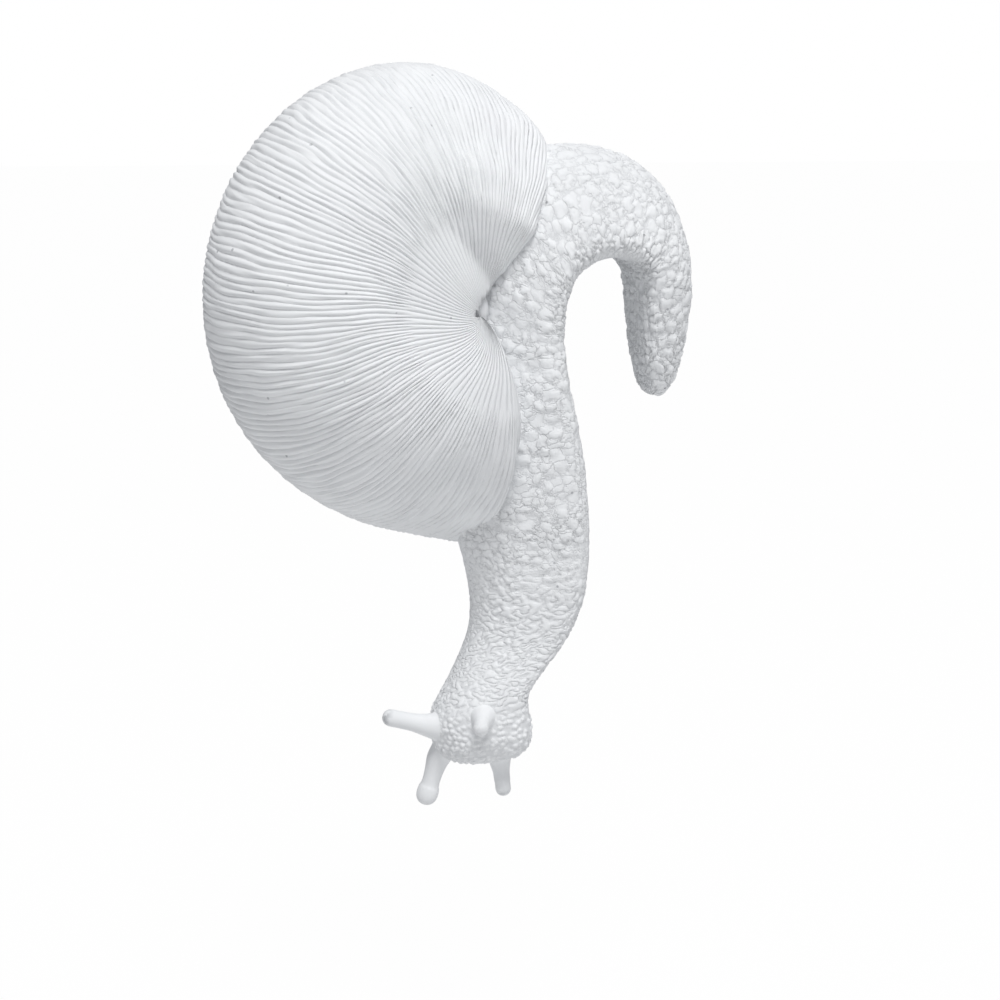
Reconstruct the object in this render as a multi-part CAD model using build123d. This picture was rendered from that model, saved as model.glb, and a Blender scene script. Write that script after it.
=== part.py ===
from build123d import *
import math
import os

# A cast snail that hangs head-down on the outside of a planter.
# The origin is the crown inside the tail hook, where the planter's rim bears.
# +Z is up, +X points into the planter, and the snail's right side is +Y.

# Clearances and overruns
glue_gap = 0.15
pin_clearance = 0.1
cut_overrun = 6.0

# Body casting, seen from its side: the hook, the back, the foot, the neck and the head
crown_thickness = 19.6
hook_leg_depth = 26.0
hook_leg_thickness = 10.8
rim_gap = 9.7
sole_setback = 4.1
arch_relief = 5.3
foot_drop = 58.0
back_thickness = 22.2
neck_drop = 22.0
head_setback = 23.4
head_breadth = 19.4
head_length = 12.4
head_turn_offset = 5.5

# Body casting, seen from the front
hook_width = 23.0
body_width = 34.0
neck_width = 20.0
head_width = 17.0

# Flat places that bear on the planter
rim_seat_length = 6.0
rim_seat_skim = 0.3
sole_skim = 0.3
sole_flat_top = 38.0

# Shell casting: one egg-shaped section, turned and shrunk about the apex
shell_axis_turn = 19.5
shell_axis_drop = 8.7
shell_mouth_turn = -85.9
shell_navel_gap = 5.0
shell_section_width = 37.6
shell_section_length = 51.1
shell_section_lean = 50.0
shell_growth = 2.07
shell_wall = 4.5
shell_wall_clearance = 4.3
pour_hole_width = 8.0

# Eye stalks and feelers, and the wires inside them
left_stalk_length = 10.2
right_stalk_length = 10.8
left_feeler_length = 6.5
right_feeler_length = 8.4
stalk_width = 3.9
stalk_bulb_width = 4.0
stalk_root_depth = 1.8
feeler_width = 3.2
feeler_tip_width = 2.9
wire_width = 1.0
wire_tip_cover = 2.2
wire_root_depth = 4.0

# Steel inside the castings
rod_width = 3.0
rod_bend_radius = 7.0
dowel_width = 3.0
dowel_length = 10.0

# The navel, where the shell's axis comes out on the left, as shares of the back's reach,
# the body's width and the crown's thickness, and how far the section's middle lies above
# the apex, as a share of the section's length
shell_navel_shares = (-1.01, -0.291, -0.177)
shell_rise_share = 0.505

# Places that follow from the sizes above
hook_front = rim_gap - sole_setback
hook_back = hook_front + hook_leg_thickness
arch_front = sole_setback + arch_relief
back_reach = sole_setback + back_thickness
neck_end = foot_drop + neck_drop
head_center = Vector(-head_setback, -head_turn_offset, -neck_end - head_length / 2)

# Sections of the body from the hook's tip to the mouth. Each line gives the front point,
# the back point, the width and the sideways offset as shares of the sizes named with it.
hook_shares = [
    (1.45, -1.00, 0.68, -1.02, 0.30, 0),
    (1.20, -0.77, 0.87, -0.79, 0.66, 0),
    (1.05, -0.46, 0.97, -0.42, 0.88, 0),
    (1.00, -0.19, 1.01, -0.08, 1.00, 0),
]
crown_shares = [
    (0.82, -0.09, 0.89, 0.34, 0.81, 0),
    (0.46, -0.03, 0.60, 0.69, 0.87, 0),
    (0.00, -0.015, 0.21, 0.92, 0.92, 0),
]
arch_shares = [
    (-0.27, -0.04, -0.18, 1.02, 0.95, 0),
    (-0.56, -0.10, -0.49, 0.97, 0.98, 0),
    (-0.80, -0.24, -0.80, 0.61, 1.00, 0),
    (-0.95, -0.46, -0.99, 0.00, 1.00, 0),
]
foot_shares = [
    (-2.27, -0.26, -1.06, -0.24, 1.00, 0),
    (-1.85, -0.42, -1.10, -0.45, 1.00, 0),
    (-1.34, -0.59, -1.10, -0.64, 0.98, 0),
    (-1.00, -0.78, -1.06, -0.81, 0.94, 0),
    (-0.95, -0.93, -0.99, -0.95, 0.88, 0),
]
neck_shares = [
    (-0.21, -0.18, -1.05, -0.18, 1.35, 0.00),
    (-0.33, -0.48, -1.07, -0.48, 1.22, 0.18),
    (-0.52, -0.73, -1.18, -0.73, 1.07, 0.45),
    (-0.67, -0.95, -1.29, -0.95, 0.95, 0.75),
]
head_shares = [
    (0.87, -0.23, -0.98, -0.23, 0.95, 0.92),
    (0.92, -0.58, -0.99, -0.58, 0.95, 1.00),
    (0.68, -0.86, -0.86, -0.86, 0.73, 0.98),
    (0.28, -1.00, -0.47, -1.00, 0.35, 0.95),
]

# Roundness of a body section, where a low share is square and one is an ellipse, and how
# much narrower its back is than its sole
front_round_share = 0.50
back_round_share = 0.90
hook_taper_share = 0.20
body_taper_share = 0.50
neck_taper_share = 0.30
head_taper_share = 0.0
section_points = 16

# The line along which the shell sits on the back, from the tail down to the navel,
# as shares of the back's reach and of the crown's thickness
seat_line_shares = [
    (-0.36, 1.25),
    (-0.49, 0.87),
    (-0.51, 0.68),
    (-0.62, 0.27),
    (-0.81, -0.08),
    (-1.00, -0.46),
]
# The outer side of the shell's lip, from the navel down, as shares of the back's reach
# and of the foot's drop
lip_line_shares = [
    (-0.82, -0.21),
    (-0.66, -0.32),
    (-0.60, -0.52),
    (-0.60, -1.10),
]

# Roots of the eye stalks and feelers as shares of the head's half sizes, and their aims
stalk_root_shares = {
    "left_eye_stalk": (-0.93, -0.15, 0.20),
    "right_eye_stalk": (-0.78, 0.13, -0.66),
    "left_feeler": (-0.14, -0.85, 0.69),
    "right_feeler": (0.31, -0.01, -0.76),
}
stalk_aim_shares = {
    "left_eye_stalk": (-0.96, -0.06, 0.27),
    "right_eye_stalk": (-0.28, 0.04, -0.96),
    "left_feeler": (-0.26, -0.96, -0.14),
    "right_feeler": (0.10, -0.08, -0.99),
}
stalk_sizes = {
    "left_eye_stalk": (left_stalk_length, stalk_width, stalk_bulb_width),
    "right_eye_stalk": (right_stalk_length, stalk_width, stalk_bulb_width),
    "left_feeler": (left_feeler_length, feeler_width, feeler_tip_width),
    "right_feeler": (right_feeler_length, feeler_width, feeler_tip_width),
}
stalk_waist_share = 0.43

# The reinforcing rod's corners, as shares of the sizes that they follow
rod_hook_shares = ((0.5, -0.80), (0.45, 0.17))
rod_crown_shares = (-0.10, 0.66)
rod_back_shares = ((-0.48, 0.14), (-0.65, -0.71))
rod_end_shares = (-0.59, -0.96)

# Dowels between body and shell, as shares of the back's reach, width and foot drop
dowel_shares = ((-1.08, -0.16, -0.40), (-1.08, 0.16, -0.70))

# Where the hollow of the shell starts and ends, and where its pour hole runs, in turns
hollow_start_share = 0.15
hollow_end_share = 0.52
pour_start_share = 0.03
tube_ends_shares = (0.0, 0.34, 0.67, 1.0, 1.5, 2.0, 2.6, 3.2)
hollow_ends_shares = (hollow_start_share, 0.34, hollow_end_share)
span_steps = 5


def body_section(front, back, width, offset, taper, growth):
    """One closed section of the body, from its front point to its back point."""
    middle = (front + back) * 0.5
    outward = back - front
    depth = outward.length / 2 + growth
    half_width = width / 2 + growth
    outward = outward.normalized()
    points = []
    for index in range(section_points):
        angle = 2 * math.pi * index / section_points
        round_share = back_round_share if math.sin(angle) > 0 else front_round_share
        across = math.copysign(abs(math.cos(angle)) ** round_share, math.cos(angle))
        along = math.copysign(abs(math.sin(angle)) ** round_share, math.sin(angle))
        narrowing = 1 - taper * (along + 1) / 2
        sideways = Vector(0, offset - half_width * across * narrowing, 0)
        points.append(middle + outward * (depth * along) + sideways)
    return Wire([Edge.make_spline(points, periodic=True)])


def region_sections(shares, front_size, front_rise, back_size, back_rise, width, taper, growth, top=0):
    """The sections of one stretch of the body, in millimetres."""
    sections = []
    for front_x, front_z, back_x, back_z, width_share, offset_share in shares:
        front = Vector(front_x * front_size, 0, top + front_z * front_rise)
        back = Vector(back_x * back_size, 0, top + back_z * back_rise)
        offset = -offset_share * head_turn_offset
        sections.append(body_section(front, back, width_share * width, offset, taper, growth))
    return sections


def head_sections(growth):
    """The sections of the head, about its own middle."""
    sections = []
    half = head_breadth / 2
    for front_x, front_z, back_x, back_z, width_share, offset_share in head_shares:
        front = Vector(-head_setback + front_x * half, 0, -neck_end + front_z * head_length)
        back = Vector(-head_setback + back_x * half, 0, -neck_end + back_z * head_length)
        offset = -offset_share * head_turn_offset
        width = width_share * head_width
        sections.append(body_section(front, back, width, offset, head_taper_share, growth))
    return sections


def body_spans(growth):
    """The body in four spans, with every side moved outwards by the growth."""
    leg = (hook_front, hook_leg_depth, hook_back, hook_leg_depth, hook_width)
    bend = (hook_front, crown_thickness, hook_back, crown_thickness, body_width)
    rear = (arch_front, crown_thickness, back_reach, crown_thickness, body_width)
    sole = (sole_setback, foot_drop, back_reach, foot_drop, body_width)
    nape = (head_setback, neck_drop, head_setback, neck_drop, neck_width)
    hook = region_sections(hook_shares, *leg, hook_taper_share, growth)
    crown = region_sections(crown_shares, *bend, body_taper_share, growth)
    arch = region_sections(arch_shares, *rear, body_taper_share, growth)
    foot = region_sections(foot_shares, *sole, body_taper_share, growth)
    neck = region_sections(neck_shares, *nape, neck_taper_share, growth, -foot_drop)
    # No span bends far enough to fold its own surface
    spans = [hook + crown[:1], crown + arch[:1], arch + foot[:1], foot + neck + head_sections(growth)]
    return [Solid.make_loft(span) for span in spans]


def joined(solids):
    """The solids fused into one, each to the one before it."""
    whole = solids[0]
    for solid in solids[1:]:
        whole = whole.fuse(solid)
    return whole


def seat_points():
    """The line where the shell sits on the back, in the body's upright plane."""
    return [(x * back_reach, z * crown_thickness) for x, z in seat_line_shares]


def upright_prism(outline, near, far):
    """A closed outline in the upright plane, drawn out sideways from near to far."""
    face = Plane.XZ.offset(-far) * make_face(outline)
    return extrude(face, amount=far - near)


def back_cutter():
    """Everything behind the seat line, taken off the body."""
    points = [(x - glue_gap, z) for x, z in seat_points()]
    navel = points[-1]
    top = points[0]
    outer = -2 * back_reach
    line = Spline(*points)
    edges = line + Polyline(navel, (outer, navel[1]), (outer, top[1]), top)
    return upright_prism(edges, -body_width, body_width)


def front_cutter():
    """Everything before the seat line and the lip, taken off the shell's left half."""
    points = seat_points()
    navel = points[-1]
    top = points[0]
    lip = [(x * back_reach, z * foot_drop) for x, z in lip_line_shares]
    line = Spline(*points)
    edges = line + Polyline(navel, *lip, (hook_back, lip[-1][1]), (hook_back, top[1]), top)
    return upright_prism(edges, -2 * body_width, 0)


# Shell geometry about its apex, which lies on the axis behind the navel
turn_angle = math.radians(shell_axis_turn)
drop_angle = math.radians(shell_axis_drop)
shell_axis = Vector(
    math.sin(turn_angle) * math.cos(drop_angle),
    -math.cos(turn_angle) * math.cos(drop_angle),
    -math.sin(drop_angle),
)
front_direction = Vector(1, 0, 0)
shell_first = (front_direction - shell_axis * front_direction.dot(shell_axis)).normalized()
shell_second = shell_axis.cross(shell_first)
lean_angle = math.radians(shell_section_lean)
lean_width = shell_section_width / 2 * math.cos(lean_angle)
lean_length = shell_section_length / 2 * math.sin(lean_angle)
section_reach = math.hypot(lean_width, lean_length)
shell_turn_radius = shell_navel_gap + section_reach
shell_rise = shell_rise_share * shell_section_length
navel_climb = (
    lean_length * shell_section_length / 2 * math.cos(lean_angle)
    - lean_width * shell_section_width / 2 * math.sin(lean_angle)
) / section_reach
shell_navel = Vector(
    shell_navel_shares[0] * back_reach,
    shell_navel_shares[1] * body_width,
    shell_navel_shares[2] * crown_thickness,
)
shell_apex = shell_navel - shell_axis * (shell_rise + navel_climb)


def shell_place(turns, inward, around, wall):
    """A point on the shell: turns back from the lip, at an angle around the section."""
    shrink = shell_growth**-turns
    heading = math.radians(shell_mouth_turn) - 2 * math.pi * turns
    half_width = inward * (shell_section_width / 2 - wall / shrink)
    half_length = inward * (shell_section_length / 2 - wall / shrink)
    short = half_width * math.cos(around)
    long = half_length * math.sin(around)
    radius = shell_turn_radius + short * math.cos(lean_angle) - long * math.sin(lean_angle)
    rise = shell_rise + short * math.sin(lean_angle) + long * math.cos(lean_angle)
    outward = shell_first * math.cos(heading) + shell_second * math.sin(heading)
    return shell_apex + (outward * radius + shell_axis * rise) * shrink


def shell_section(turns, wall=0.0):
    """One closed section of the shell's tube, or of its hollow inside the wall."""
    points = []
    for index in range(section_points):
        around = 2 * math.pi * index / section_points
        points.append(shell_place(turns, 1, around, wall))
    return Wire([Edge.make_spline(points, periodic=True)])


def tube(ends, wall=0.0):
    """The coiled tube, lofted in spans that don't meet themselves."""
    spans = []
    for first, last in zip(ends, ends[1:]):
        steps = [first + (last - first) * step / span_steps for step in range(span_steps + 1)]
        spans.append(Solid.make_loft([shell_section(turns, wall) for turns in steps]))
    return joined(spans)


def bar(start, end, width):
    """A round bar between two points."""
    along = end - start
    return Plane(origin=start, z_dir=along) * Cylinder(
        width / 2, along.length, align=(Align.CENTER, Align.CENTER, Align.MIN)
    )


def stalk_root(name):
    """The point where an eye stalk or feeler leaves the head, and its direction."""
    x_share, y_share, z_share = stalk_root_shares[name]
    root = head_center + Vector(
        x_share * head_breadth / 2, y_share * head_width / 2, z_share * head_length / 2
    )
    return root, Vector(*stalk_aim_shares[name]).normalized()


def stalk_form(name, growth):
    """An eye stalk or feeler with its root, every side moved outwards by the growth."""
    length, width, tip_width = stalk_sizes[name]
    root, aim = stalk_root(name)
    half = width / 2 + growth
    tip_half = tip_width / 2 + growth
    waist = stalk_waist_share * width + growth
    bottom = -stalk_root_depth - growth
    top = length + growth
    side = Polyline((0, bottom), (half, bottom), (half, 0))
    curve = Spline(
        (half, 0),
        (waist, length / 2),
        (tip_half, length - tip_width / 2),
        (0, top),
        tangents=((0, 1), (-1, 0)),
    )
    profile = Plane.XZ * make_face(side + curve + Line((0, top), (0, bottom)))
    return Plane(origin=root, z_dir=aim) * revolve(profile, Axis.Z)


def stalk_wire(name, growth):
    """The wire inside an eye stalk or feeler, or its bore with a growth."""
    length = stalk_sizes[name][0]
    root, aim = stalk_root(name)
    start = root - aim * wire_root_depth
    end = root + aim * (length - wire_tip_cover)
    return bar(start, end, wire_width + 2 * growth)


def rod_form(growth):
    """The bent rod from the hook through the back to the neck, or its bore."""
    (leg_x, leg_z), (bend_x, bend_z) = rod_hook_shares
    (rear_x, rear_z), (back_x, back_z) = rod_back_shares
    corners = [
        Vector(hook_front + leg_x * hook_leg_thickness, 0, leg_z * hook_leg_depth),
        Vector(hook_front + bend_x * hook_leg_thickness, 0, bend_z * hook_leg_depth),
        Vector(rod_crown_shares[0] * crown_thickness, 0, rod_crown_shares[1] * crown_thickness),
        Vector(rear_x * back_reach, 0, rear_z * crown_thickness),
        Vector(back_x * back_reach, 0, back_z * crown_thickness),
        Vector(rod_end_shares[0] * back_reach, 0, rod_end_shares[1] * foot_drop),
    ]
    path = FilletPolyline(*corners, radius=rod_bend_radius)
    start = Plane(origin=path @ 0, z_dir=path % 0)
    return sweep(start * Circle(rod_width / 2 + growth), path)


def dowel_forms(growth):
    """The two dowels that locate the shell on the back, or their bores."""
    dowels = []
    for x_share, y_share, z_share in dowel_shares:
        middle = Vector(x_share * back_reach, y_share * body_width, z_share * foot_drop)
        half = Vector(dowel_length / 2, 0, 0)
        dowels.append(bar(middle - half, middle + half, dowel_width + 2 * growth))
    return dowels


def body_casting():
    """Foot, neck, head and tail hook in one casting."""
    solid = joined(body_spans(0)) - back_cutter()
    seat_depth = rim_seat_skim + cut_overrun
    seat = Pos(0, 0, -seat_depth / 2) * Box(rim_seat_length, 2 * body_width, seat_depth)
    sole_depth = sole_skim + cut_overrun
    sole_length = neck_end - sole_flat_top
    sole_x = -sole_setback - sole_skim + sole_depth / 2
    sole_z = -sole_flat_top - sole_length / 2
    sole = Pos(sole_x, 0, sole_z) * Box(sole_depth, 2 * body_width, sole_length)
    solid = solid - seat - sole
    for name in stalk_sizes:
        solid = solid - stalk_form(name, glue_gap) - stalk_wire(name, pin_clearance)
    solid = solid - rod_form(pin_clearance)
    for dowel in dowel_forms(pin_clearance):
        solid = solid - dowel
    return solid


def shell_casting():
    """The hollow shell, seated on the body's back."""
    solid = tube(tube_ends_shares)
    behind = back_cutter()
    for span in body_spans(glue_gap):
        solid = solid - (span - behind)
    wall_side = -sole_setback - shell_wall_clearance
    wall = Pos(wall_side + body_width, 0, 0) * Box(2 * body_width, 8 * body_width, 8 * body_width)
    solid = solid - front_cutter() - wall
    hollow = tube(hollow_ends_shares, shell_wall)
    pour_start = shell_place(pour_start_share, 0, 0, 0)
    pour_end = shell_place(hollow_start_share, 0, 0, 0)
    solid = solid - hollow - bar(pour_start, pour_end, pour_hole_width)
    for dowel in dowel_forms(pin_clearance):
        solid = solid - dowel
    return solid


nodes = {
    "body_casting": body_casting(),
    "shell_casting": shell_casting(),
    "tail_armature_rod": rod_form(0),
    "shell_dowels": Compound(children=dowel_forms(0)),
}
for name in stalk_sizes:
    nodes[name] = stalk_form(name, 0) - stalk_wire(name, pin_clearance)
    nodes[name + "_wire"] = stalk_wire(name, 0)

os.makedirs("parts", exist_ok=True)
for name, shape in nodes.items():
    export_step(shape, os.path.join("parts", name + ".step"))
    box = shape.bounding_box()
    print(name, len(shape.solids()), "solids", round(shape.volume), "mm3", box.min, box.max)
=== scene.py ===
# %% [markdown]
# # A cast snail that hangs from a planter
# The real thing is a resin casting under matt white paint. It hangs head-down, and its tail
# goes over the rim as a hook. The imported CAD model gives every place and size, so the first
# step loads it as a fixed frame and keeps its box.

# %% Load the frame
import math

import bmesh
import bpy
from mathutils import Matrix, Vector
from mathutils.bvhtree import BVHTree


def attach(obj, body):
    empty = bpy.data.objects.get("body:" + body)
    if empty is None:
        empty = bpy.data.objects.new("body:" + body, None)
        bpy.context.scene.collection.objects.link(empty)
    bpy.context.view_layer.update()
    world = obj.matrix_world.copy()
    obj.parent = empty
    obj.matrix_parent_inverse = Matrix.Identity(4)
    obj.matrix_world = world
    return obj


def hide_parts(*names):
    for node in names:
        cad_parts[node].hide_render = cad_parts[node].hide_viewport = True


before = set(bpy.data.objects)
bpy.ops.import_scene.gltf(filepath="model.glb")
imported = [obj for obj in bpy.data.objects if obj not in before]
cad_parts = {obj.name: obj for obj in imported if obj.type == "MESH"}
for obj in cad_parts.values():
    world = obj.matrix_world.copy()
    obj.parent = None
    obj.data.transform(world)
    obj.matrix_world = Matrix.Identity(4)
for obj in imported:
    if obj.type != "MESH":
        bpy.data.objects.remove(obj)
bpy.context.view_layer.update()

# %% [markdown]
# ## Millimetres and soft steps
# The sizes of such a small figure are easiest to read in millimetres, while one Blender unit
# is a metre here. Meshes are shaped in millimetres and scaled once at their end. A soft step
# is the sculptor's feathered edge: it goes from 0 to 1 without a corner.

# %% Small helpers
MM = 0.001


def soft_step(value, low, high):
    share = min(1.0, max(0.0, (value - low) / (high - low)))
    return share * share * (3 - 2 * share)


def finish_mesh(bm, name):
    """Turns a mesh modelled in millimetres into an object in metres, faces outwards."""
    bmesh.ops.scale(bm, vec=(MM, MM, MM), verts=bm.verts)
    bmesh.ops.recalc_face_normals(bm, faces=bm.faces)
    mesh = bpy.data.meshes.new(name)
    bm.to_mesh(mesh)
    bm.free()
    mesh.shade_smooth()
    piece = bpy.data.objects.new(name, mesh)
    bpy.context.scene.collection.objects.link(piece)
    return piece


def bake_modifiers(piece):
    """Replaces the mesh by what its modifiers make of it."""
    bpy.context.view_layer.update()
    depsgraph = bpy.context.evaluated_depsgraph_get()
    shaped = bpy.data.meshes.new_from_object(
        piece.evaluated_get(depsgraph), preserve_all_data_layers=True, depsgraph=depsgraph
    )
    piece.modifiers.clear()
    piece.data = shaped
    shaped.shade_smooth()
    print(piece.name, len(shaped.polygons), "faces")


# %% [markdown]
# ## Pulling a ring
# Body, shell and tentacles are all tubes of a changing section. Each starts as a circle whose
# edges are extruded over and over. The helper gives the new ring in the order of the old one,
# so that a form can say where each point goes.

# %% Extrude a ring
def start_ring(bm, count):
    ring = bmesh.ops.create_circle(bm, cap_ends=True, segments=count, radius=1)["verts"]
    return sorted(ring, key=lambda vert: math.atan2(vert.co.y, vert.co.x) % math.tau)


def pull_ring(bm, ring):
    edges = [bm.edges.get(pair) for pair in zip(ring, ring[1:] + ring[:1])]
    made = bmesh.ops.extrude_edge_only(bm, edges=edges)["geom"]
    fresh = {item for item in made if isinstance(item, bmesh.types.BMVert)}
    return [
        next(edge.other_vert(vert) for edge in vert.link_edges if edge.other_vert(vert) in fresh)
        for vert in ring
    ]


def close_ring(bm, ring):
    bmesh.ops.contextual_create(
        bm, geom=[bm.edges.get(pair) for pair in zip(ring, ring[1:] + ring[:1])]
    )


# %% [markdown]
# ## The body as a row of sections
# A sculptor would build this body along a bent wire, ring by ring, and so does this cell.
# Each line is one ring: front point, back point, width, sideways shift and how much narrower
# the back is than the sole. The list began as the CAD body's sections, printed by a small
# program from the CAD model's sizes, and was then corrected by hand against the real shape.

# %% Sections from the hook's tip to the mouth
body_rings = [
    (8.6, -25.6, 10.7, -26.0, 4.9, 0.0, 0.20),
    (7.5, -23.8, 12.6, -24.4, 10.9, 0.0, 0.20),
    (6.7, -20.0, 14.3, -20.5, 15.2, 0.0, 0.20),
    (5.9, -12.0, 15.9, -10.9, 20.2, 0.0, 0.20),
    (5.6, -4.9, 16.2, -2.1, 24.0, 0.0, 0.25),
    (4.6, -1.8, 14.0, 6.5, 27.5, 0.0, 0.42),
    (2.6, -0.6, 9.8, 13.5, 29.6, 0.0, 0.46),
    (0.0, -0.3, 3.4, 18.0, 31.3, 0.0, 0.50),
    (-2.7, -0.8, -4.7, 20.0, 32.3, 0.0, 0.50),
    (-5.4, -2.0, -12.9, 19.0, 33.3, 0.0, 0.50),
    (-7.6, -4.5, -21.0, 12.0, 34.0, 0.0, 0.50),
    (-8.9, -8.8, -26.0, 0.0, 34.0, 0.0, 0.50),
    (-9.3, -15.1, -27.9, -13.9, 34.0, 0.0, 0.50),
    (-7.6, -24.4, -28.9, -26.1, 34.0, 0.0, 0.50),
    (-5.4, -34.2, -28.9, -37.1, 33.3, 0.0, 0.48),
    (-4.2, -45.2, -27.9, -47.0, 32.0, 0.0, 0.46),
    (-3.9, -53.9, -26.0, -55.1, 29.9, 0.0, 0.42),
    (-4.9, -62.0, -24.6, -62.0, 27.0, -0.3, 0.36),
    (-7.7, -68.6, -25.0, -68.6, 24.4, -1.0, 0.36),
    (-12.1, -74.1, -27.6, -74.1, 21.4, -2.5, 0.32),
    (-15.7, -78.9, -30.4, -78.9, 19.0, -4.1, 0.20),
    (-15.1, -82.9, -33.0, -82.9, 16.1, -5.1, 0.00),
    (-14.6, -87.2, -33.0, -87.2, 15.8, -5.2, 0.00),
    (-16.8, -90.7, -31.8, -90.7, 12.4, -5.0, 0.00),
    (-20.7, -92.3, -28.0, -92.3, 5.9, -4.8, 0.00),
]
rings_between = 2
points_round = 28
sole_power = 0.50
back_power = 0.90


def eased(rows, between):
    """Passes a smooth curve through the rows and adds rings between them."""
    smooth = []
    for i in range(len(rows) - 1):
        a, b, c, d = rows[max(i - 1, 0)], rows[i], rows[i + 1], rows[min(i + 2, len(rows) - 1)]
        for step in range(between):
            t = step / between
            smooth.append([
                (2 * q + (r - p) * t + (2 * p - 5 * q + 4 * r - s) * t**2
                 + (3 * q - p - 3 * r + s) * t**3) / 2
                for p, q, r, s in zip(a, b, c, d)
            ])
    return smooth + [list(rows[-1])]


body_rows = eased(body_rings, rings_between)
print(len(body_rows), "body rings")

# %% [markdown]
# ## From a circle to a skin
# The points of each ring lie on a soft rectangle, flat and wide on the sole, rounder and
# narrower on the back. Every point also remembers how far along the body it is, how far
# across, and how deep, all counted in pebbles. The skin's pattern is later drawn in that
# memory, so that it bends with the tail instead of cutting straight through it. Pebbles are
# 2.4 mm wide on the tail and half of that on the head, and on the neck they are squashed
# into cross wrinkles.

# %% Extrude the body
def ring_point(row, angle):
    front, back = Vector((row[0], 0, row[1])), Vector((row[2], 0, row[3]))
    half = (back - front).length / 2
    power = back_power if math.sin(angle) > 0 else sole_power
    across = math.copysign(abs(math.cos(angle)) ** power, math.cos(angle))
    along = math.copysign(abs(math.sin(angle)) ** power, math.sin(angle))
    side = row[5] - row[4] / 2 * across * (1 - row[6] * (along + 1) / 2)
    spot = (front + back) / 2 + (back - front).normalized() * half * along
    return spot + Vector((0, side, 0)), side, half * along


def pebbles_per_mm(height):
    count = 0.40 + 0.12 * soft_step(-height, 30, 55) + 0.16 * soft_step(-height, 58, 72)
    return count + 0.14 * soft_step(-height, 78, 88)


def pebble_squash(height):
    return 1.3 + 0.5 * soft_step(-height, 50, 62) - 0.7 * soft_step(-height, 76, 86)


def body_skin():
    bm = bmesh.new()
    places = bm.verts.layers.float_vector.new("skin_place")
    ring = start_ring(bm, points_round)
    travelled = 0.0
    middle = None
    for number, row in enumerate(body_rows):
        if number:
            ring = pull_ring(bm, ring)
        last, middle = middle, Vector((row[0] + row[2], 0, row[1] + row[3])) / 2
        count = pebbles_per_mm(middle.z)
        travelled += (middle - last).length * count * pebble_squash(middle.z) if last else 0.0
        for index, vert in enumerate(ring):
            spot, side, depth = ring_point(row, math.tau * index / points_round)
            vert.co = spot
            vert[places] = (travelled, side * count, depth * count)
    close_ring(bm, ring)
    return finish_mesh(bm, "body_skin")


body = body_skin()
rounding = body.modifiers.new("round the rings", "SUBSURF")
rounding.levels = rounding.render_levels = 3
bake_modifiers(body)
body_sides = BVHTree.FromPolygons(
    [vert.co / MM for vert in body.data.vertices],
    [tuple(face.vertices) for face in body.data.polygons],
)

# %% [markdown]
# ## The shell's first ring
# A snail's shell is one section that turns about an axis and shrinks at the same rate, which
# is a logarithmic spiral. The section here is a leaning ellipse. Its inner side is drawn in
# to the axis, because the real shell closes to a point at the navel, with no hole.

# %% Shell sizes, about its apex
shell_apex = Vector((-37.2, 20.1, 1.4))
axis_turn, axis_drop = math.radians(19.5), math.radians(8.7)
shell_axis = Vector((
    math.sin(axis_turn) * math.cos(axis_drop),
    -math.cos(axis_turn) * math.cos(axis_drop),
    -math.sin(axis_drop),
))
first_side = (Vector((1, 0, 0)) - shell_axis * shell_axis.x).normalized()
second_side = shell_axis.cross(first_side)
mouth_heading = math.radians(-85.9)
shell_growth = 2.07
section_middle = (28.0, 25.8)
section_halves = (18.8, 25.55)
section_lean = math.radians(50.0)
navel_reach = 17.0
shell_points = 72


def section_point(angle):
    """Distance from the axis and rise above the apex of a point of the first section."""
    short, long = section_halves[0] * math.cos(angle), section_halves[1] * math.sin(angle)
    reach = section_middle[0] + short * math.cos(section_lean) - long * math.sin(section_lean)
    rise = section_middle[1] + short * math.sin(section_lean) + long * math.cos(section_lean)
    return reach, rise


crest_angle = max(range(360), key=lambda a: section_point(math.radians(a))[1])
inner_angle = min(range(360), key=lambda a: section_point(math.radians(a))[0])
outer_angle = (inner_angle + 180) % 360
navel_gap, navel_rise = section_point(math.radians(inner_angle))


def mouth_point(angle):
    reach, rise = section_point(angle)
    if reach < navel_reach:
        reach = (reach - navel_gap) * navel_reach / (navel_reach - navel_gap)
    out = first_side * math.cos(mouth_heading) + second_side * math.sin(mouth_heading)
    return shell_apex + out * reach + shell_axis * rise


def navel_share(angle):
    """How far a point of the section is drawn out to the navel, from the crest inwards."""
    degrees = math.degrees(angle)
    if degrees <= inner_angle:
        return soft_step(degrees, crest_angle, inner_angle)
    return 1 - soft_step(degrees, inner_angle, inner_angle + 80)


print("crest and inner angle:", crest_angle, inner_angle)

# %% [markdown]
# ## Coiling the tube
# The whole tube can be seen as a cloth with one row for each step of the coil and one column
# for each point round the section. So a plain grid is made first, and each of its points is
# turned about the axis and shrunk about the apex, always at the same rate. The rows are
# equally far apart on the shell's outside, which gives every rib the same number of rows.
# The first rows close the mouth with a shallow floor and roll inwards, as the real lip does.
# On the far side the mouth reaches further round, so that it meets the body's back. The
# inner turns begin under the end of the last whorl and close in a small dome.

# %% Coil the shell
ribs_per_turn = 172.0
rows_per_rib = 6.2
lip_round = 1.7
lip_rows = 7
lip_flare, flared_ribs = 1.7, 11.0
far_reach, far_pull, reaching_ribs = 8.0, 4.4, 30.0
far_from, far_full = -4, 14
navel_step = 0.5
navel_shift, navel_field = Vector((1.0, -0.2, -5.4)), 24.0
dome_rows, dome_ribs, dome_depth = 8, 2.4, 26.0
spire_end = 276.0
callus_place, callus_halves = (-25.3, -8.6, -8.8), (2.4, 3.8, 3.6, 1)


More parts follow.
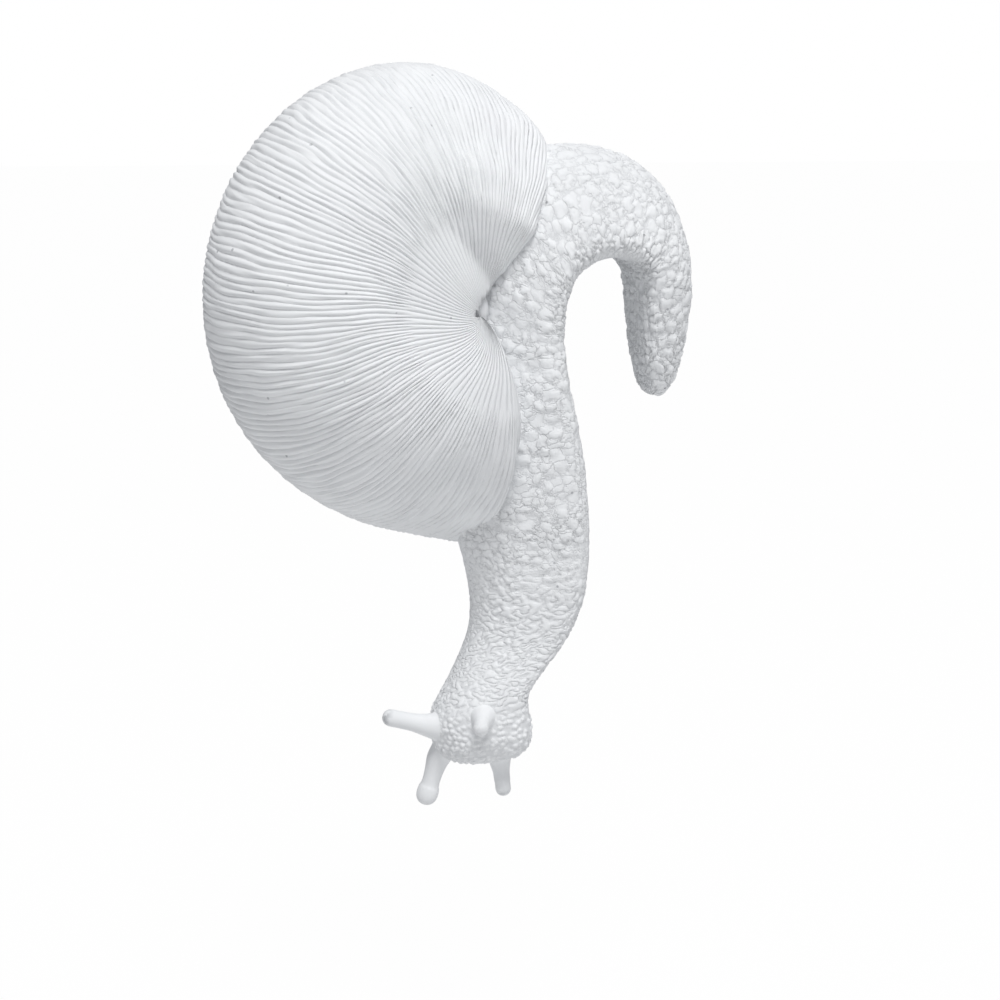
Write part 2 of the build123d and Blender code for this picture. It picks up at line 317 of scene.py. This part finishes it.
def turn_at(rib):
    """How many turns back from the lip a rib lies."""
    return -math.log(1 - rib * (1 - 1 / shell_growth) / ribs_per_turn) / math.log(shell_growth)


def spire_start():
    """The spire begins under the end of the last whorl."""
    return [(ribs_per_turn - 1.6, 0.9), (ribs_per_turn - 0.8, 0.45), (ribs_per_turn + 0.2, 0.15)]


def spire_tip(last_rib):
    """The spire ends in a dome."""
    angles = [math.pi / 2 * step / dome_rows for step in range(1, dome_rows + 1)]
    return [
        (last_rib + dome_ribs * math.sin(angle), dome_depth * (1 - math.cos(angle)))
        for angle in angles
    ]


def lip_profile():
    """Rows of the mouth's floor and of its rounded lip: rib number and how far it is drawn in."""
    rows = [(-4.6, 13.0), (-4.0, 9.5), (-2.9, 6.3), (-1.4, 3.8), (-0.5, 2.6)]
    for step in range(lip_rows):
        angle = math.pi / 2 * (1 - step / lip_rows)
        rows.append((lip_round * (1 - math.sin(angle)), lip_round * (1 - math.cos(angle))))
    return rows


def coil(first_rib, last_rib, start=(), end=()):
    count = round((last_rib - first_rib) * rows_per_rib)
    rows = [(first_rib + (last_rib - first_rib) * step / count, 0.0) for step in range(count + 1)]
    rows = list(start) + rows + list(end)
    bm = bmesh.new()
    bmesh.ops.create_grid(bm, x_segments=len(rows) - 1, y_segments=shell_points, size=0.5)
    places = bm.verts.layers.float_vector.new("rib_place")
    section = [mouth_point(math.tau * index / shell_points) for index in range(shell_points)]
    middle = sum(section, Vector()) / shell_points
    moves = []
    for rib, drawn in rows:
        turns = turn_at(rib)
        turn = Matrix.Rotation(-math.tau * turns, 3, shell_axis)
        moves.append((rib, turn * shell_growth**-turns, drawn))
    for vert in bm.verts:
        row = round((vert.co.x + 0.5) * (len(rows) - 1))
        index = round((vert.co.y + 0.5) * shell_points)
        angle = math.tau * index / shell_points
        rib, move, drawn = moves[row]
        spot = section[index % shell_points]
        early = (1 - min(1.0, max(0.0, rib) / reaching_ribs)) ** 2
        reaching = soft_step(spot.y, far_from, far_full) * early
        if reaching:
            rib -= far_reach * reaching
            turns = turn_at(rib)
            move = Matrix.Rotation(-math.tau * turns, 3, shell_axis) * shell_growth**-turns
        drawn += navel_step * soft_step(math.cos(angle - math.radians(inner_angle)), 0.26, 0.40)
        outer = soft_step(math.cos(angle - math.radians(outer_angle)), -0.4, 0.4)
        flare = lip_flare * outer * (1 - min(1.0, rib / flared_ribs)) ** 2
        drawn = drawn * (0.3 + 0.7 * outer) - flare
        spot = spot + (middle - spot).normalized() * min(drawn, (middle - spot).length)
        turns = turn_at(rib)
        drop = navel_rise * (1 - shell_growth**-turns) * (1 - soft_step(turns, 0.85, 1.0))
        from_apex = move @ (spot - shell_apex) + shell_axis * drop * navel_share(angle)
        height = from_apex.dot(shell_axis)
        off_axis = (from_apex - shell_axis * height).length
        lowered = (1 - soft_step(off_axis, 0, navel_field)) * soft_step(height, 5, 20)
        vert.co = shell_apex + from_apex + navel_shift * lowered - Vector((0, far_pull * reaching, 0))
        vert[places] = (rib, math.cos(angle), math.sin(angle))
    bmesh.ops.remove_doubles(bm, verts=bm.verts, dist=0.0005)
    bmesh.ops.holes_fill(bm, edges=[edge for edge in bm.edges if edge.is_boundary], sides=0)
    return bm


# %% [markdown]
# ## Seating the shell on the body
# At the cleft the casting's shell rolls down onto the body's side. So its near face is
# brought out there to a rounded edge that ends at the seat line, and what lies past the line
# sinks into the body, whose side is found by a ray. Each point of the seat line has its
# place and the height of the bulge behind it, which runs out at the navel. The effect fades
# away with distance from the line, near the top of the shell and towards the far side, which
# is tucked in at the body's back. A small smooth swelling, the callus, fills the navel.

# %% Seat helpers
seat_line = [
    (-9.0, 26.5, 5.0), (-11.2, 18.0, 6.2), (-12.4, 13.3, 7.0),
    (-15.0, 5.0, 7.0), (-20.3, -2.0, 5.7), (-26.0, -8.8, 1.7),
]
seat_round, seat_sink = 20.0, 0.3
seat_fade, seat_reach = 15.0, 23.0
seat_bottom, seat_top_fade, seat_top = -9.5, 23, 30
seat_depth, seat_blend = 1.5, 4
far_tuck, far_side, far_line = 7.0, 12.0, -6.5


def body_side(x, z):
    """Where a ray from the snail's left first meets the body."""
    hit = body_sides.ray_cast(Vector((x, -80, z)), Vector((0, 1, 0)))[0]
    return hit.y if hit else None


seat_sides = [(body_side(x + 0.4, z) or 0.0) + seat_sink for x, z, bulge in seat_line]
print("body's side along the seat:", [round(side, 1) for side in seat_sides])
seat_rows = [(x, side, z, bulge) for (x, z, bulge), side in zip(seat_line, seat_sides)]


def nearest_seat(x, z):
    """Distance behind the seat line, and the side and the bulge at its nearest point."""
    best = None
    for (x0, y0, z0, b0), (x1, y1, z1, b1) in zip(seat_rows, seat_rows[1:]):
        run = Vector((x1 - x0, z1 - z0))
        share = min(1.0, max(0.0, ((x - x0) * run.x + (z - z0) * run.y) / run.length_squared))
        gap = Vector((x - x0 - share * run.x, z - z0 - share * run.y))
        sign = -1 if run.x * gap.y - run.y * gap.x > 0 else 1
        if best is None or gap.length < abs(best[0]):
            best = sign * gap.length, y0 + (y1 - y0) * share, b0 + (b1 - b0) * share
    return best


def near_weight(angle):
    """1 on the section's near face, fading out past its outermost point."""
    past = (outer_angle - angle) % 360
    return 1 - soft_step(past if past < 180 else 0, 10, 60)


def seat(bm):
    places = bm.verts.layers.float_vector["rib_place"]
    for vert in bm.verts:
        x, y, z = vert.co
        past = x - far_line
        if y > far_side and past > -far_tuck:
            share = min(1.0, (past + far_tuck) / far_tuck)
            vert.co.y = far_side + (y - far_side) * math.sqrt(max(0.0, 1 - share * share))
        if y > far_side or z < seat_bottom:
            continue
        angle = math.degrees(math.atan2(vert[places].z, vert[places].y)) % 360
        before, side_y, bulge = nearest_seat(x, z)
        if before > seat_reach:
            continue
        if before > 0:
            rolled = max(0.0, 1 - before / seat_round)
            edge = side_y - bulge * math.sqrt(1 - rolled * rolled)
            deeper = min(1.0, max(0.0, (y - edge) / seat_blend + 0.5))
            target = y + (edge - y) * deeper - deeper * (1 - deeper)
        else:
            side = body_side(x, z)
            if side is None:
                continue
            target = max(y, side + seat_sink + min(seat_depth, -before))
        weight = near_weight(angle) * (1 - soft_step(z, seat_top_fade, seat_top))
        weight *= 1 - soft_step(y, 0, far_side)
        weight *= 1 - soft_step(before, seat_fade, seat_reach)
        vert.co.y = y + (target - y) * weight


last_whorl = coil(lip_round, ribs_per_turn, start=lip_profile())
seat(last_whorl)
shell = finish_mesh(last_whorl, "shell_last_whorl")
inner_whorls = coil(ribs_per_turn + 0.8, spire_end, spire_start(), spire_tip(spire_end))
seat(inner_whorls)
callus = Matrix.Translation(callus_place) @ Matrix.Diagonal(callus_halves)
bmesh.ops.create_uvsphere(inner_whorls, u_segments=24, v_segments=16, radius=1, matrix=callus)
spire = finish_mesh(inner_whorls, "shell_spire")
print("shell faces", len(shell.data.polygons), len(spire.data.polygons))

# %% [markdown]
# ## One recipe for mesh and paint
# Ribs and pebbles are wanted twice: as real relief that shows in the outline, and as a finer
# bump in the paint. Blender's texture nodes work the same in geometry nodes and in a
# material, so each pattern is written once, as a function that adds its nodes to whichever
# tree it is given.

# %% Node helpers
def wire(tree, node, **inputs):
    """Sets or links a node's inputs by name and returns the node."""
    for key, value in inputs.items():
        socket = node.inputs[int(key[1:])] if key[0] == "i" and key[1:].isdigit() else node.inputs[key]
        if isinstance(value, bpy.types.NodeSocket):
            tree.links.new(value, socket)
        else:
            socket.default_value = value
    return node


def sums(tree, operation, first, second=0.0):
    node = tree.nodes.new("ShaderNodeMath")
    node.operation = operation
    return wire(tree, node, i0=first, i1=second).outputs[0]


def plus(tree, first, second):
    return sums(tree, "ADD", first, second)


def times(tree, first, second):
    return sums(tree, "MULTIPLY", first, second)


def vectors(tree, operation, first, second):
    node = tree.nodes.new("ShaderNodeVectorMath")
    node.operation = operation
    return wire(tree, node, i0=first, i1=second).outputs[0]


def ramp(tree, value, low, high, start=0.0, end=1.0):
    node = tree.nodes.new("ShaderNodeMapRange")
    node.interpolation_type = "SMOOTHSTEP"
    return wire(tree, node, i0=value, i1=low, i2=high, i3=start, i4=end).outputs[0]


def cells(tree, place, scale, feature="DISTANCE_TO_EDGE", randomness=1.0):
    node = tree.nodes.new("ShaderNodeTexVoronoi")
    node.feature = feature
    return wire(tree, node, Vector=place, Scale=scale, Randomness=randomness).outputs["Distance"]


def cloud(tree, place, scale, detail, output="Fac"):
    node = tree.nodes.new("ShaderNodeTexNoise")
    return wire(tree, node, Vector=place, Scale=scale, Detail=detail).outputs[output]


def centred_cloud(tree, place, scale, detail):
    """A noise of vectors about zero."""
    return vectors(tree, "SUBTRACT", cloud(tree, place, scale, detail, "Color"), (0.5, 0.5, 0.5))


def pushed(tree, place, push, amount):
    return vectors(tree, "ADD", place, vectors(tree, "MULTIPLY", push, (amount,) * 3))


def blend(tree, first, second, share):
    node = tree.nodes.new("ShaderNodeMix")
    return wire(tree, node, i0=share, i2=first, i3=second).outputs[0]


def memory(tree, name):
    """Reads what the points remember."""
    if tree.type == "GEOMETRY":
        node = tree.nodes.new("GeometryNodeInputNamedAttribute")
        node.data_type = "FLOAT_VECTOR"
        node.inputs["Name"].default_value = name
    else:
        node = tree.nodes.new("ShaderNodeAttribute")
        node.attribute_name = name
        return node.outputs["Vector"]
    return next(socket for socket in node.outputs if socket.enabled)


def split(tree, vector):
    return wire(tree, tree.nodes.new("ShaderNodeSeparateXYZ"), i0=vector).outputs


def join(tree, x, y, z):
    return wire(tree, tree.nodes.new("ShaderNodeCombineXYZ"), i0=x, i1=y, i2=z).outputs[0]


# %% [markdown]
# ## Pebbled skin
# The body was tooled with flat, irregular pebbles with narrow grooves between them. A
# Voronoi pattern measured to its cell borders gives such a plate. The cells are bent a
# little by a noise, some grooves fade out, and a second, finer layer breaks up the plates.
# On the neck the plates give way to wavy furrows, where a noise passes its middle value,
# and on the head to round bumps, a Voronoi pattern measured to its cell middles. All scales
# are counted in pebbles.

# %% The pebble pattern
bend_scale, lobe_scale, fade_scale, swell_scale = 1.5, 3.4, 0.5, 0.7
plate_lobes, furrow_lobes, dome_lobes = 0.44, 0.20, 0.25
fine_scale, furrow_scale, dome_scale, dome_randomness = 1.9, 1.05, 1.1, 0.8
groove_share, crown_share = 0.6, 0.4
plate_share, fine_share, furrow_share, swell_share = 0.84, 0.05, 0.85, 0.26


def pebbles(tree):
    place = memory(tree, "skin_place")
    bend = centred_cloud(tree, place, bend_scale, 2.0)
    lobes = centred_cloud(tree, place, lobe_scale, 1.0)
    bent = pushed(tree, pushed(tree, place, bend, 1.0), lobes, plate_lobes)
    border = cells(tree, bent, 1.0)
    groove = times(tree, ramp(tree, border, -0.01, 0.11), groove_share)
    crown = times(tree, ramp(tree, border, 0.0, 0.42), crown_share)
    fade = ramp(tree, cloud(tree, place, fade_scale, 1.0), 0.34, 0.54, 0.45, 1.0)
    large = times(tree, plus(tree, groove, crown), fade)
    small = ramp(tree, cells(tree, bent, fine_scale), -0.02, 0.20)
    swell = cloud(tree, place, swell_scale, 1.0)
    plates = plus(tree, times(tree, large, plate_share), times(tree, small, fine_share))
    wave = cloud(tree, pushed(tree, place, lobes, furrow_lobes), furrow_scale, 0.0)
    furrow = ramp(tree, sums(tree, "ABSOLUTE", sums(tree, "SUBTRACT", wave, 0.5)), -0.05, 0.20)
    middles = cells(tree, pushed(tree, place, lobes, dome_lobes), dome_scale, "F1", dome_randomness)
    domes = ramp(tree, middles, 0.72, 0.06, 0.05, 0.95)
    amount, head, neck = split(tree, memory(tree, "relief"))
    wrinkled = blend(tree, plates, furrow, times(tree, neck, furrow_share))
    skin = blend(tree, wrinkled, domes, head)
    return plus(tree, skin, times(tree, swell, swell_share))


# %% [markdown]
# ## Shell ribs
# Growth ribs run along the lip's line, about a millimetre apart. They aren't even: they
# wander, fork and run out. A sine gives the row, and a Voronoi pattern stretched along the
# ribs breaks it into long streaks. Towards the navel every second rib runs out, so there the
# row is twice as wide and has no streaks.

# %% The rib pattern
wander_along, wander_round, wander_size = 0.22, 1.7, 1.7
rib_power, rib_share = 0.7, 0.62
streaks_round, streak_scale, streak_share = 2.3, 0.85, 0.38


def ribs(tree):
    rib, cosine, sine = split(tree, memory(tree, "rib_place"))
    slow = join(tree, times(tree, rib, wander_along), times(tree, cosine, wander_round),
                times(tree, sine, wander_round))
    wander = times(tree, sums(tree, "SUBTRACT", cloud(tree, slow, 1.0, 1.0), 0.5), wander_size)
    bent = plus(tree, rib, wander)
    inwards = math.radians(inner_angle)
    facing = plus(tree, times(tree, cosine, math.cos(inwards)), times(tree, sine, math.sin(inwards)))
    near_navel = ramp(tree, facing, 0.26, 0.42)
    fine = sums(tree, "ABSOLUTE", sums(tree, "SINE", times(tree, bent, math.pi)))
    wide = sums(tree, "ABSOLUTE", sums(tree, "SINE", times(tree, bent, math.pi / 2)))
    elsewhere = sums(tree, "SUBTRACT", 1.0, near_navel)
    row = plus(tree, times(tree, fine, elsewhere), times(tree, wide, near_navel))
    row = sums(tree, "POWER", row, rib_power)
    streak_place = join(tree, bent, times(tree, cosine, streaks_round), times(tree, sine, streaks_round))
    streak = ramp(tree, cells(tree, streak_place, streak_scale), 0.0, 0.35)
    fading = sums(tree, "SUBTRACT", streak_share, times(tree, near_navel, streak_share))
    streak = times(tree, streak, fading)
    return plus(tree, times(tree, row, rib_share), streak)


# %% [markdown]
# ## Pressing a pattern into a mesh
# A geometry-nodes modifier moves each point along its normal by the pattern's height times
# the point's own relief. The modifier is then baked, so the mesh carries the relief itself.

# %% Press patterns
def press(piece, pattern, middle_height):
    tree = bpy.data.node_groups.new("press " + piece.name, "GeometryNodeTree")
    tree.interface.new_socket("Geometry", in_out="INPUT", socket_type="NodeSocketGeometry")
    tree.interface.new_socket("Geometry", in_out="OUTPUT", socket_type="NodeSocketGeometry")
    start, end = tree.nodes.new("NodeGroupInput"), tree.nodes.new("NodeGroupOutput")
    relief = split(tree, memory(tree, "relief"))[0]
    height = sums(tree, "SUBTRACT", pattern(tree), middle_height)
    depth = times(tree, times(tree, height, relief), MM)
    outwards = tree.nodes.new("ShaderNodeVectorMath")
    outwards.operation = "SCALE"
    wire(tree, outwards, i0=tree.nodes.new("GeometryNodeInputNormal").outputs[0], Scale=depth)
    mover = wire(tree, tree.nodes.new("GeometryNodeSetPosition"), Offset=outwards.outputs[0],
                 Geometry=start.outputs[0])
    tree.links.new(mover.outputs[0], end.inputs[0])
    modifier = piece.modifiers.new("press the pattern", "NODES")
    modifier.node_group = tree
    bake_modifiers(piece)


def remember(piece, name, rule):
    """Gives every point a remembered vector, worked out from its place in millimetres."""
    layer = piece.data.attributes.new(name, "FLOAT_VECTOR", "POINT")
    flat = []
    for vert in piece.data.vertices:
        flat.extend(rule(vert.co / MM))
    layer.data.foreach_set("vector", flat)


tentacles = {
    "left_eye_stalk": ((-32.5, -6.7, -85.0), (-0.96, -0.06, 0.27), 10.2, 3.8, 3.3),
    "right_eye_stalk": ((-31.2, -4.3, -90.3), (-0.28, 0.04, -0.96), 10.7, 3.9, 4.2),
    "left_feeler": ((-24.8, -12.5, -81.9), (-0.26, -0.955, -0.14), 6.7, 3.2, 2.9),
    "right_feeler": ((-20.4, -5.6, -90.7), (0.10, -0.08, -0.99), 8.5, 3.6, 3.0),
}
# How strongly each tentacle's tip is painted darker in spots.
darkened_tips = {"left_eye_stalk": 1.0, "right_eye_stalk": 0.15, "left_feeler": 0.3, "right_feeler": 0.8}


def skin_relief(spot):
    """Relief in millimetres, and how much a place belongs to the head and to the neck."""
    left = soft_step(-spot.x, 21, 26) * soft_step(-spot.z, 48, 56) * (1 - soft_step(-spot.z, 76, 82))
    seat = soft_step(abs(spot.z), 0.6, 2.0) if abs(spot.x) < 4 and spot.z < 4 else 1.0
    roots = min((spot - Vector(sizes[0])).length for sizes in tentacles.values())
    head = soft_step(-spot.z, 79, 84)
    neck = 0.05 + 0.95 * soft_step(-spot.z, 50, 64)
    sole = soft_step(spot.x, -7, -5) * soft_step(-spot.z, 34, 40) * (1 - soft_step(-spot.z, 57, 62))
    amount = (1 - 0.7 * left) * (1 - 0.6 * sole) * seat * soft_step(roots, 1.8, 4.2)
    return amount * (0.70 - 0.24 * soft_step(-spot.z, 52, 66) - 0.06 * head), head, neck


def rib_relief(spot):
    offset = spot - shell_apex
    reach = (offset - shell_axis * offset.dot(shell_axis)).length
    return 0.03 + 0.40 * soft_step(reach, 0.5, 16), 0, 0


remember(body, "relief", skin_relief)
press(body, pebbles, 0.62)
for piece in (shell, spire):
    remember(piece, "relief", rib_relief)
    press(piece, ribs, 1.0)

# %% [markdown]
# ## Tentacles
# Each tentacle is a soft horn with a small bulb and a skirt that blends into the head. Its
# outline is drawn as a half profile and spun about its own axis, which is how a turned or
# modelled horn is thought of, and then set on the head by one transform. The skirt is then
# smoothed down onto the head, as a thumb would do it in clay: the nearer a point is to the
# root, the closer it comes to the nearest place on the head. The tips remember how much
# darker they are to be painted in spots.

# %% Spin the tentacles
def horn_profile(length, width, tip_width):
    """Half outline from the skirt inside the head to the tip, in millimetres."""
    waist, bulb = width * 0.42, tip_width / 2
    return [
        (width * 1.15, -1.6), (width * 0.98, -1.0), (width * 0.82, -0.2), (width * 0.69, 0.7),
        (width * 0.58, 1.7), (waist * 1.15, 3.0), (waist, length * 0.48), (waist * 1.02, length * 0.64),
        (bulb * 0.94, length - bulb * 1.75), (bulb, length - bulb * 1.0),
        (bulb * 0.86, length - bulb * 0.45), (bulb * 0.5, length - bulb * 0.12), (0.0, length),
    ]


def horn(name, root, aim, length, width, tip_width):
    bm = bmesh.new()
    darkness_layer = bm.verts.layers.float_vector.new("tip_darkness")
    line = [bm.verts.new((reach, 0, rise)) for reach, rise in horn_profile(length, width, tip_width)]
    edges = [bm.edges.new(pair) for pair in zip(line, line[1:])]
    bmesh.ops.spin(bm, geom=line + edges, cent=(0, 0, 0), axis=(0, 0, 1), angle=math.tau,
                   steps=20, use_merge=True)
    bmesh.ops.remove_doubles(bm, verts=bm.verts, dist=0.01)
    rim = [edge for edge in bm.edges if edge.is_boundary]
    bmesh.ops.contextual_create(bm, geom=rim)
    turn = Vector(aim).to_track_quat("Z", "Y").to_matrix().to_4x4()
    for vert in bm.verts:
        vert[darkness_layer] = (darkened_tips[name] * soft_step(vert.co.z, length - 1.6, length - 0.1), 0, 0)
    root_shares = {vert: 1 - soft_step(vert.co.z, -0.8, 2.2) for vert in bm.verts}
    bmesh.ops.transform(bm, matrix=Matrix.Translation(root) @ turn, verts=bm.verts)
    for vert, share in root_shares.items():
        nearest, outwards = body_sides.find_nearest(vert.co)[:2]
        under = nearest - outwards * 0.35 * share
        vert.co += (under - vert.co) * share
    piece = finish_mesh(bm, name + "_skin")
    rounding = piece.modifiers.new("round the horn", "SUBSURF")
    rounding.levels = rounding.render_levels = 2
    bake_modifiers(piece)
    return piece


horns = {name: horn(name, *sizes) for name, sizes in tentacles.items()}

# %% [markdown]
# ## Matt white paint
# The paint is a sprayed matt white. It isn't one flat colour: it is a little greyer in the
# grooves, which is painted shade, its roughness wanders, and a fine grain and a few pinholes
# from the casting show through. On the tentacles' tips it is painted darker in spots. All
# of it is made of nodes.

# %% The paint's nodes
grain_share, hole_shade, tip_dark_share = 0.10, 0.38, 0.6
pinhole_scale, plain_bump = 270.0, 0.00012


def paint(name, pattern=None, pattern_depth=0.0, groove=(0.0, 1.0)):
    material = bpy.data.materials.new(name)
    material.use_nodes = True
    tree = material.node_tree
    shader = tree.nodes["Principled BSDF"]
    shader.inputs["Specular IOR Level"].default_value = 0.35
    place = tree.nodes.new("ShaderNodeTexCoord").outputs["Object"]
    broad = cloud(tree, place, 60.0, 3.0)
    grain = cloud(tree, place, 2600.0, 3.0)
    holes = ramp(tree, cells(tree, place, pinhole_scale, "F1"), 0.045, 0.10)
    few = ramp(tree, cloud(tree, place, 140.0, 1.0), 0.52, 0.56)
    open_skin = sums(tree, "MAXIMUM", holes, sums(tree, "SUBTRACT", 1.0, few))
    shade = ramp(tree, broad, 0.3, 0.7, 0.93, 1.0)
    height = times(tree, grain, grain_share)
    if pattern:
        pressed = pattern(tree)
        # Painted shade: the colour turns greyer where the pressed pattern is low, in the grooves.
        shade = times(tree, shade, ramp(tree, pressed, *groove, 0.80, 1.0))
        height = plus(tree, height, pressed)
    shade = times(tree, shade, plus(tree, times(tree, open_skin, 1 - hole_shade), hole_shade))
    if not pattern:
        # The tentacles' tips are painted darker in spots, by each tip's remembered share.
        spots = ramp(tree, cloud(tree, place, 700.0, 2.0), 0.40, 0.58)
        spotted_dark = times(tree, split(tree, memory(tree, "tip_darkness"))[0], spots)
        shade = times(tree, shade, sums(tree, "SUBTRACT", 1.0, times(tree, spotted_dark, tip_dark_share)))
    tone = tree.nodes.new("ShaderNodeMix")
    tone.data_type = "RGBA"
    tree.links.new(shade, tone.inputs[0])
    tone.inputs[6].default_value = (0.30, 0.31, 0.33, 1)
    tone.inputs[7].default_value = (0.87, 0.88, 0.89, 1)
    tree.links.new(tone.outputs[2], shader.inputs["Base Color"])
    roughness = ramp(tree, cloud(tree, place, 900.0, 2.0), 0.3, 0.7, 0.66, 0.82)
    tree.links.new(roughness, shader.inputs["Roughness"])
    bump = tree.nodes.new("ShaderNodeBump")
    bump.inputs["Strength"].default_value = 0.8
    bump.inputs["Distance"].default_value = pattern_depth or plain_bump
    tree.links.new(height, bump.inputs["Height"])
    tree.links.new(bump.outputs[0], shader.inputs["Normal"])
    return material


# The last pair is the range of the pattern over which the grooves take their painted shade.
skin_paint = paint("matt white over pebbles", pebbles, 0.00022, (0.15, 0.55))
rib_paint = paint("matt white over ribs", ribs, 0.00018, (0.05, 0.45))
plain_paint = paint("matt white over smooth resin")

# %% [markdown]
# ## Drawn steel
# The rod and the wires inside the casting are plain drawn steel. They hardly ever show, but
# each still gets its fine lines along the wire and a few dull patches.

# %% Steel nodes
def drawn_steel():
    material = bpy.data.materials.new("drawn steel wire")
    material.use_nodes = True
    tree = material.node_tree
    shader = tree.nodes["Principled BSDF"]
    shader.inputs["Metallic"].default_value = 1.0
    place = tree.nodes.new("ShaderNodeTexCoord").outputs["Object"]
    lines = cloud(tree, vectors(tree, "MULTIPLY", place, (9000, 9000, 400)), 1.0, 2.0)
    tone = tree.nodes.new("ShaderNodeMix")
    tone.data_type = "RGBA"
    tree.links.new(lines, tone.inputs[0])
    tone.inputs[6].default_value = (0.42, 0.43, 0.44, 1)
    tone.inputs[7].default_value = (0.66, 0.67, 0.68, 1)
    tree.links.new(tone.outputs[2], shader.inputs["Base Color"])
    tree.links.new(ramp(tree, lines, 0.2, 0.8, 0.28, 0.46), shader.inputs["Roughness"])
    bump = wire(tree, tree.nodes.new("ShaderNodeBump"), Strength=0.3, Distance=0.00003, Height=lines)
    tree.links.new(bump.outputs[0], shader.inputs["Normal"])
    return material


steel = drawn_steel()
for node_name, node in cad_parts.items():
    node.data.materials.clear()
    inner = "wire" in node_name or "rod" in node_name or "dowel" in node_name
    node.data.materials.append(steel if inner else plain_paint)

# %% [markdown]
# ## Riding on the frame
# Every finished piece takes its paint, rides on the one rigid body and, where it stands for
# a CAD node, hides that node.

# %% Hand the pieces over
dressed = [
    (body, skin_paint, "white_resin_skin", "body_casting"),
    (shell, rib_paint, "white_resin_shell", "shell_casting"),
    (spire, rib_paint, "white_resin_shell", None),
]
dressed += [(piece, plain_paint, "white_resin_smooth", name) for name, piece in horns.items()]
for piece, material, slot, node_name in dressed:
    piece.data.materials.clear()
    piece.data.materials.append(material)
    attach(piece, "root")
    if node_name:
        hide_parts(node_name)

# %% [markdown]
# ## Floor, light and camera
# A pale floor lies well below the hanging snail. One large soft lamp above and in front
# shapes the forms, a weaker one from the right opens the shadows, and the air is nearly white.

# %% Studio
floor_drop, floor_reach, floor_glow = 0.155, 6, 0.985


def studio_floor():
    bm = bmesh.new()
    bmesh.ops.create_grid(bm, x_segments=8, y_segments=8, size=floor_reach)
    bmesh.ops.translate(bm, vec=(0, 0, -floor_drop), verts=bm.verts)
    mesh = bpy.data.meshes.new("floor")
    bm.to_mesh(mesh)
    bm.free()
    floor = bpy.data.objects.new("floor", mesh)
    bpy.context.scene.collection.objects.link(floor)
    material = bpy.data.materials.new("pale studio floor")
    material.use_nodes = True
    tree = material.node_tree
    shader = tree.nodes["Principled BSDF"]
    shader.inputs["Roughness"].default_value = 0.9
    place = tree.nodes.new("ShaderNodeTexCoord").outputs["Object"]
    tone = tree.nodes.new("ShaderNodeMix")
    tone.data_type = "RGBA"
    tree.links.new(cloud(tree, place, 9.0, 3.0), tone.inputs[0])
    tone.inputs[6].default_value = (0.86, 0.86, 0.86, 1)
    tone.inputs[7].default_value = (0.90, 0.90, 0.90, 1)
    tree.links.new(tone.outputs[2], shader.inputs["Base Color"])
    glow = tree.nodes.new("ShaderNodeEmission")
    paler = tree.nodes.new("ShaderNodeMixShader")
    from_camera = tree.nodes.new("ShaderNodeLightPath").outputs["Is Camera Ray"]
    seen = times(tree, from_camera, floor_glow)
    tree.links.new(seen, paler.inputs[0])
    tree.links.new(shader.outputs[0], paler.inputs[1])
    tree.links.new(glow.outputs[0], paler.inputs[2])
    tree.links.new(paler.outputs[0], tree.nodes["Material Output"].inputs[0])
    mesh.materials.append(material)


def soft_lamp(name, place, target, size, power):
    lamp = bpy.data.lights.new(name, "AREA")
    lamp.shape, lamp.size, lamp.energy = "DISK", size, power
    holder = bpy.data.objects.new(name, lamp)
    holder.location = place
    holder.rotation_mode = "QUATERNION"
    holder.rotation_quaternion = (Vector(target) - Vector(place)).to_track_quat("-Z", "Y")
    bpy.context.scene.collection.objects.link(holder)


studio_floor()
soft_lamp("key lamp", (-0.04, -0.57, 0.97), (-0.03, 0, -0.03), 0.42, 9.0)
soft_lamp("fill lamp", (0.7, -0.6, 0.25), (-0.03, 0, -0.04), 0.8, 0.6)

world = bpy.data.worlds.new("studio air")
bpy.context.scene.world = world
world.use_nodes = True
air = world.node_tree
background = air.nodes["Background"]
white_view = air.nodes.new("ShaderNodeBackground")
white_view.inputs["Color"].default_value = (1, 1, 1, 1)
background.inputs["Color"].default_value = (0.94, 0.96, 1.0, 1)
background.inputs["Strength"].default_value = 0.34
chooser = air.nodes.new("ShaderNodeMixShader")
air.links.new(air.nodes.new("ShaderNodeLightPath").outputs["Is Camera Ray"], chooser.inputs[0])
air.links.new(background.outputs[0], chooser.inputs[1])
air.links.new(white_view.outputs[0], chooser.inputs[2])
air.links.new(chooser.outputs[0], air.nodes["World Output"].inputs[0])

# %% [markdown]
# ## The camera
# The camera looks down a little at the snail's left side, through a moderately long lens, as
# one would take a small figure's picture from a step away.

# %% Camera
camera_data = bpy.data.cameras.new("camera")
camera_data.sensor_width = 36.0
camera_data.lens = 79.2
camera_data.clip_start = 0.01
camera = bpy.data.objects.new("camera", camera_data)
bpy.context.scene.collection.objects.link(camera)
azimuth, elevation = math.radians(-12.0), math.radians(10.3)
look = Vector((
    -math.sin(azimuth) * math.cos(elevation),
    math.cos(azimuth) * math.cos(elevation),
    -math.sin(elevation),
))
camera.location = (-0.10154, -0.38835, 0.02752)
camera.rotation_mode = "QUATERNION"
camera.rotation_quaternion = look.to_track_quat("-Z", "Y")
bpy.context.scene.camera = camera
bpy.context.scene.view_settings.view_transform = "Standard"
